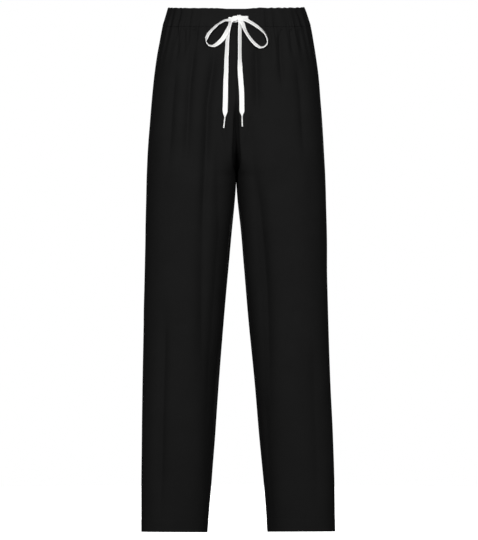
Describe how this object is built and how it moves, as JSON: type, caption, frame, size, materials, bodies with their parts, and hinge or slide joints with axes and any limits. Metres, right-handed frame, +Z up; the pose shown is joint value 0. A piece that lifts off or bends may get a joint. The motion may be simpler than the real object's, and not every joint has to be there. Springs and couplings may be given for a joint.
{
  "type": "drawstring pants",
  "caption": "Full-length straight-leg drawstring pants, filled out as worn and hollow, with a gathered waistband and a flat lace tied in a bow.",
  "frame": {"origin": "middle of the waist, halfway up the waistband at the side seams", "axes": "+Z up, -Y the front, +X the wearer's left"},
  "size_m": [0.3809, 0.2468, 1.0381],
  "materials": {
    "cloth": "matte black fine woven crepe",
    "lace": "flat white braid",
    "tip": "satin white"
  },
  "bodies": {
    "root": {"front_panel_left": "cloth", "front_panel_right": "cloth", "back_panel_left": "cloth", "back_panel_right": "cloth", "waistband": "cloth", "drawstring_exit_left": "lace", "drawstring_exit_right": "lace", "drawstring_knot": "lace", "drawstring_loop_left": "lace", "drawstring_loop_right": "lace", "drawstring_tail_left": "lace", "drawstring_tail_right": "lace", "drawstring_tip_left": "tip", "drawstring_tip_right": "tip"}
  },
  "joints": []
}
